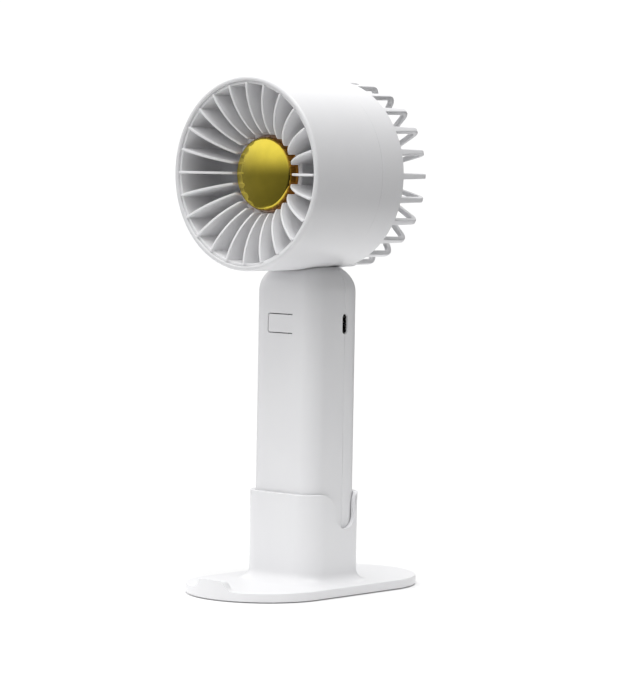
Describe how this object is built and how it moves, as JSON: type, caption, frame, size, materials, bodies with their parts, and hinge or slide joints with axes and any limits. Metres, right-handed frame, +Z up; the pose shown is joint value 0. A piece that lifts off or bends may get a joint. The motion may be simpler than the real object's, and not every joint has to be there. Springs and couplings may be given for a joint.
{
  "type": "handheld electric fan",
  "caption": "Handheld electric fan with a round vaned head, gold nose cap and rear wire-like cage, seated in a socket stand with a phone ledge.",
  "frame": {"origin": "centre of the underside of the stand's foot pads, under the handle's axis", "axes": "+Z up along the handle, -Y the way the fan blows and faces, +X towards the side that has the charging port"},
  "size_m": [0.085, 0.121, 0.2275],
  "materials": {
    "white_shell": "smooth satin white ABS",
    "white_grille": "smooth satin white ABS, thin ribs",
    "white_impeller": "satin white ABS",
    "gold_chrome": "vacuum plated gold mirror",
    "grey_rubber": "matt grey rubber",
    "green_board": "green solder mask",
    "black_parts": "matt black",
    "led_lens": "clear lens",
    "plated_steel": "nickel plated",
    "nickel_strip": "thin nickel strip",
    "bearing_steel": "ground steel",
    "laminated_steel": "dark electrical steel",
    "cast_alloy": "turned aluminium",
    "copper_winding": "enamelled copper wire, modelled as one block a tooth",
    "black_magnet": "bonded magnet",
    "cell_wrap": "shrink sleeve",
    "wire_sheath": "thin insulated wire"
  },
  "bodies": {
    "stand": {"stand_base": "white_shell", "stand_feet": "grey_rubber"},
    "fan": {"head_housing": "white_shell", "front_grille": "white_grille", "nose_cap": "gold_chrome", "rear_grille": "white_grille", "handle_front_shell": "white_shell", "handle_rear_shell": "white_shell", "circuit_board": "green_board", "board_parts": "black_parts", "charge_led": "led_lens", "usb_c_shell": "plated_steel", "usb_c_tongue": "black_parts", "switch_body": "black_parts", "board_screws": "plated_steel", "shell_screws": "plated_steel", "battery_cell": "cell_wrap", "battery_tabs": "nickel_strip", "battery_leads": "wire_sheath", "motor_leads": "wire_sheath", "driver_board": "green_board", "motor_base": "cast_alloy", "motor_screws": "plated_steel", "motor_bearings": "bearing_steel", "stator_core": "laminated_steel", "stator_coils": "copper_winding"},
    "rotor": {"motor_shaft": "bearing_steel", "shaft_clip": "plated_steel", "rotor_can": "laminated_steel", "rotor_magnet": "black_magnet", "impeller": "white_impeller"},
    "key": {"power_key": "white_shell"},
    "plunger": {"switch_plunger": "black_parts"}
  },
  "joints": [
    {"name": "fan_lift", "type": "slide", "parent": "stand", "child": "fan", "axis": [0, 0, 1], "range_m": [0, 0.055]},
    {"name": "rotor_spin", "type": "hinge", "parent": "fan", "child": "rotor", "pos_m": [0, 0, 0.185], "axis": [0, -1, 0], "continuous": true},
    {"name": "key_press", "type": "hinge", "parent": "fan", "child": "key", "pos_m": [0.0058, -0.0144, 0.119], "axis": [0, 0, -1], "range_deg": [0, 3], "stiffness_Nm_per_rad": 0.2},
    {"name": "plunger_press", "type": "slide", "parent": "fan", "child": "plunger", "axis": [0, 1, 0], "range_m": [0, 0.0005]}
  ],
  "couplings": [
    {"joint": "plunger_press", "follows": "key_press", "m_per_rad": 0.0071}
  ]
}
